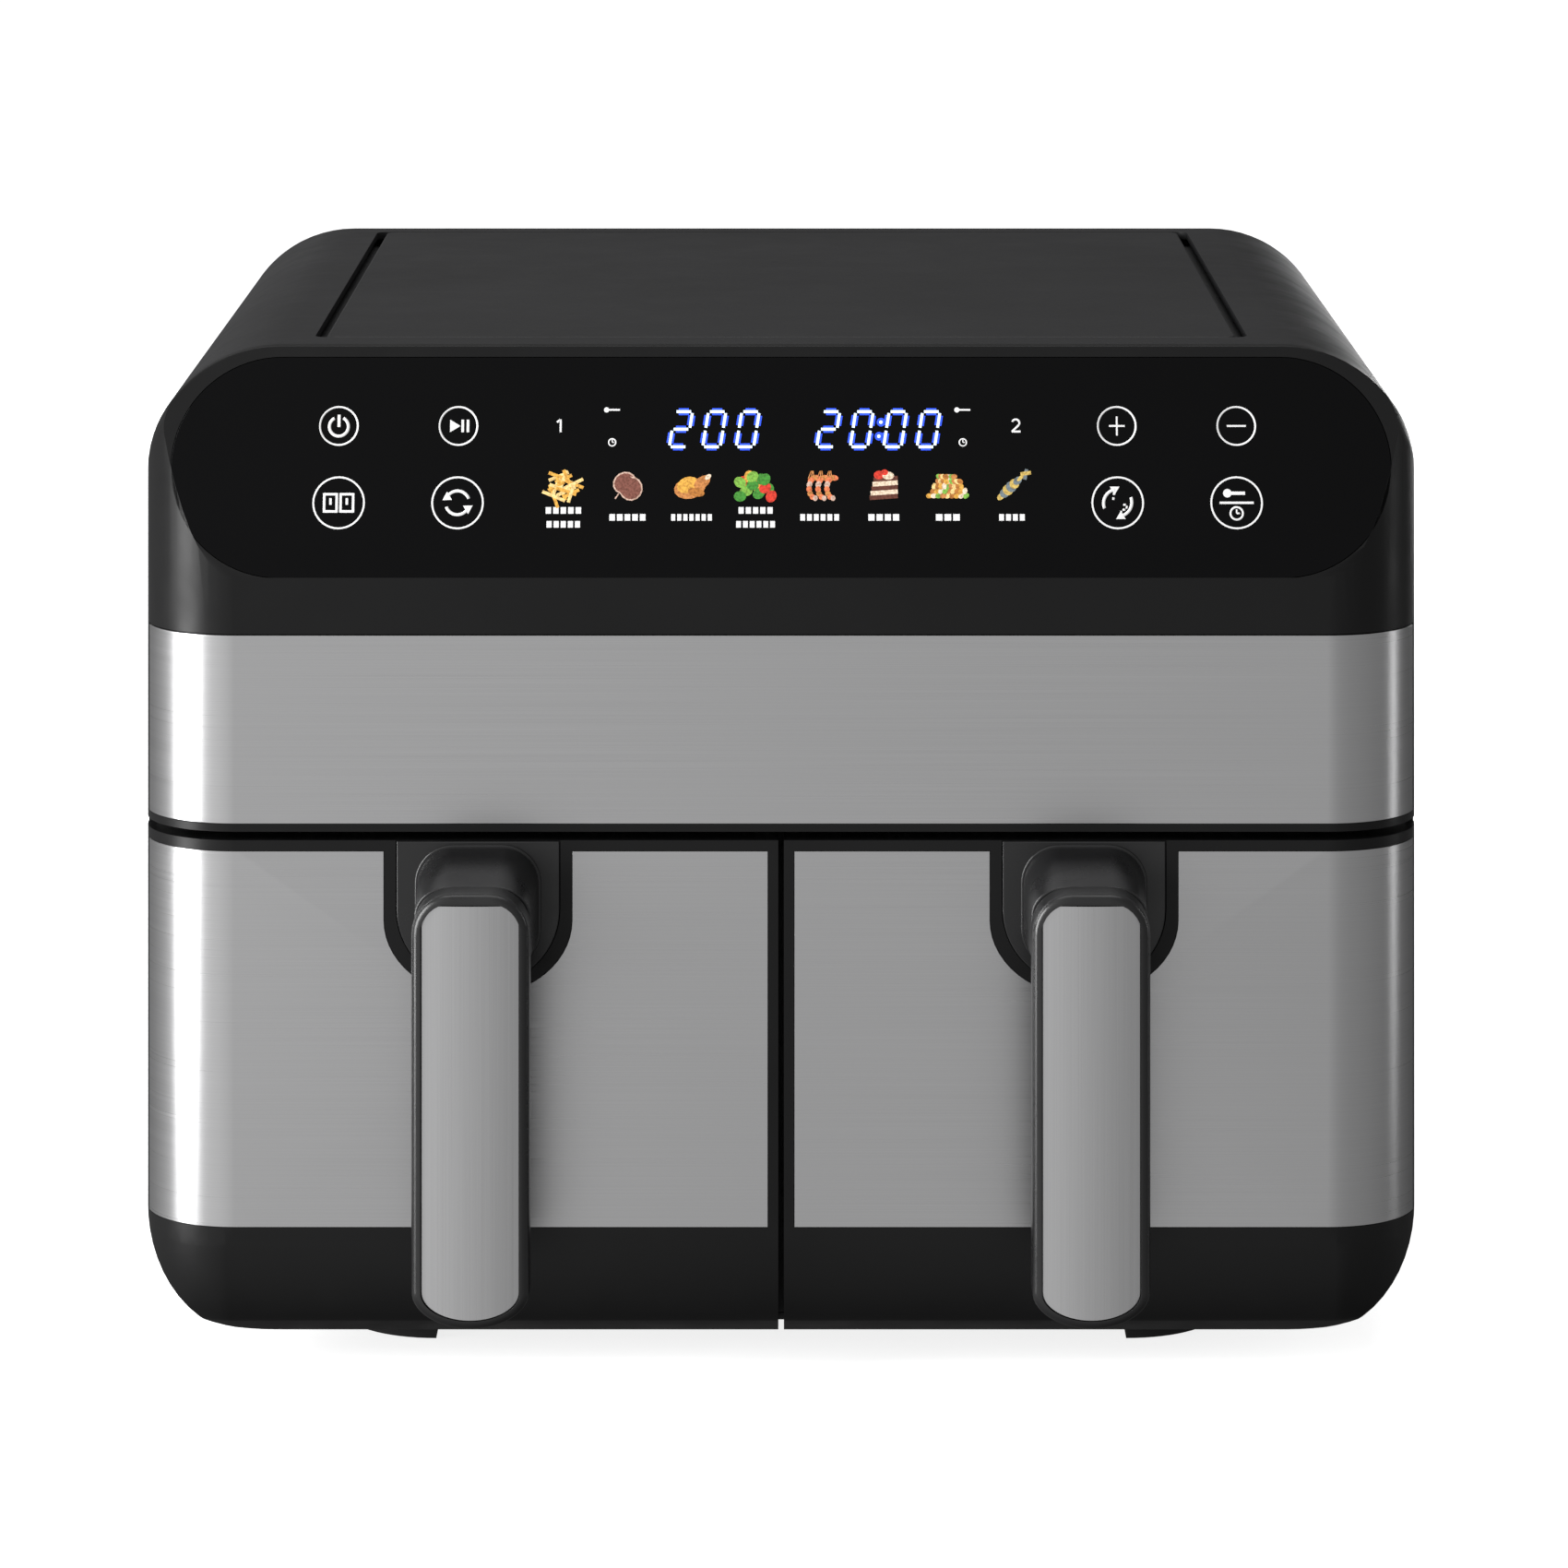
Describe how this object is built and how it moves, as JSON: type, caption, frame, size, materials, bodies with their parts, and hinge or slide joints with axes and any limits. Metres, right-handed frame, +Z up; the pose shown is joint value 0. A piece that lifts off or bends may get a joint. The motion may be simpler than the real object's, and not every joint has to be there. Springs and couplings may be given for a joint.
{
  "type": "air fryer",
  "caption": "Countertop air fryer with two pull-out drawers side by side, upright bar handles, a steel band and a sloping black touch panel.",
  "frame": {"origin": "under the middle of the overall box, on the plane that the feet stand on", "axes": "+X to the right seen from the front, +Y to the back, +Z up"},
  "size_m": [0.39, 0.4, 0.311],
  "materials": {
    "casing_plastic": "satin moulded plastic with a fine grain",
    "head_plastic": "smooth black plastic",
    "lid_plastic": "satin dark grey plastic",
    "brushed_steel": "fine horizontal brushing",
    "handle_steel": "fine upright brushing",
    "panel_glass": "polished black glass",
    "handle_plastic": "satin dark grey plastic",
    "inner_plastic": "moulded black plastic",
    "liner_sheet": "aluminised sheet",
    "pan_coating": "dark non-stick coating",
    "silicone": "black silicone",
    "foot_rubber": "matt rubber",
    "heater_tube": "heat-stained tube",
    "wheel_metal": "pressed sheet",
    "motor_case": "plated steel",
    "board_green": "coated circuit board",
    "display_plastic": "clear light guide",
    "screw_steel": "plated screws"
  },
  "bodies": {
    "casing": {"band_frame": "head_plastic", "base_tray": "casing_plastic", "case_screws": "screw_steel", "centre_divider": "inner_plastic", "control_board": "board_green", "control_glass": "panel_glass", "cord_grommet": "silicone", "display_module": "display_plastic", "exhaust_ducts": "liner_sheet", "front_fascia": "head_plastic", "front_feet": "foot_rubber", "left_cavity_liner": "liner_sheet", "left_drawer_rails": "liner_sheet", "left_drawer_sensor": "inner_plastic", "left_fan_motor": "motor_case", "left_heater_dome": "liner_sheet", "left_heater_guard": "heater_tube", "left_heating_element": "heater_tube", "left_temperature_probe": "heater_tube", "outer_housing": "casing_plastic", "power_board": "board_green", "rear_cover": "casing_plastic", "rear_feet": "foot_rubber", "right_cavity_liner": "liner_sheet", "right_drawer_rails": "liner_sheet", "right_drawer_sensor": "inner_plastic", "right_fan_motor": "motor_case", "right_heater_dome": "liner_sheet", "right_heater_guard": "heater_tube", "right_heating_element": "heater_tube", "right_temperature_probe": "heater_tube", "steel_band": "brushed_steel", "top_panel": "lid_plastic"},
    "left_drawer": {"left_drawer_front": "head_plastic", "left_drawer_steel": "brushed_steel", "left_drawer_back_plate": "inner_plastic", "left_drawer_tub": "pan_coating", "left_handle_base": "handle_plastic", "left_handle_grip": "handle_plastic", "left_handle_insert": "handle_steel", "left_handle_screws": "screw_steel"},
    "left_plate": {"left_crisper_plate": "pan_coating", "left_plate_bumpers": "silicone"},
    "left_fan": {"left_hot_air_fan": "wheel_metal", "left_motor_shaft": "motor_case", "left_cooling_fan": "inner_plastic"},
    "right_drawer": {"right_drawer_front": "head_plastic", "right_drawer_steel": "brushed_steel", "right_drawer_back_plate": "inner_plastic", "right_drawer_tub": "pan_coating", "right_handle_base": "handle_plastic", "right_handle_grip": "handle_plastic", "right_handle_insert": "handle_steel", "right_handle_screws": "screw_steel"},
    "right_plate": {"right_crisper_plate": "pan_coating", "right_plate_bumpers": "silicone"},
    "right_fan": {"right_hot_air_fan": "wheel_metal", "right_motor_shaft": "motor_case", "right_cooling_fan": "inner_plastic"}
  },
  "joints": [
    {"name": "left_drawer_slide", "type": "slide", "parent": "casing", "child": "left_drawer", "axis": [0, -1, 0], "range_m": [0, 0.2]},
    {"name": "left_plate_lift", "type": "slide", "parent": "left_drawer", "child": "left_plate", "axis": [0, 0, 1], "range_m": [0, 0.06]},
    {"name": "left_fan_spin", "type": "hinge", "parent": "casing", "child": "left_fan", "pos_m": [-0.095, -0.0115, 0.2], "axis": [0, 0, 1], "continuous": true},
    {"name": "right_drawer_slide", "type": "slide", "parent": "casing", "child": "right_drawer", "axis": [0, -1, 0], "range_m": [0, 0.2]},
    {"name": "right_plate_lift", "type": "slide", "parent": "right_drawer", "child": "right_plate", "axis": [0, 0, 1], "range_m": [0, 0.06]},
    {"name": "right_fan_spin", "type": "hinge", "parent": "casing", "child": "right_fan", "pos_m": [0.095, -0.0115, 0.2], "axis": [0, 0, 1], "continuous": true}
  ]
}
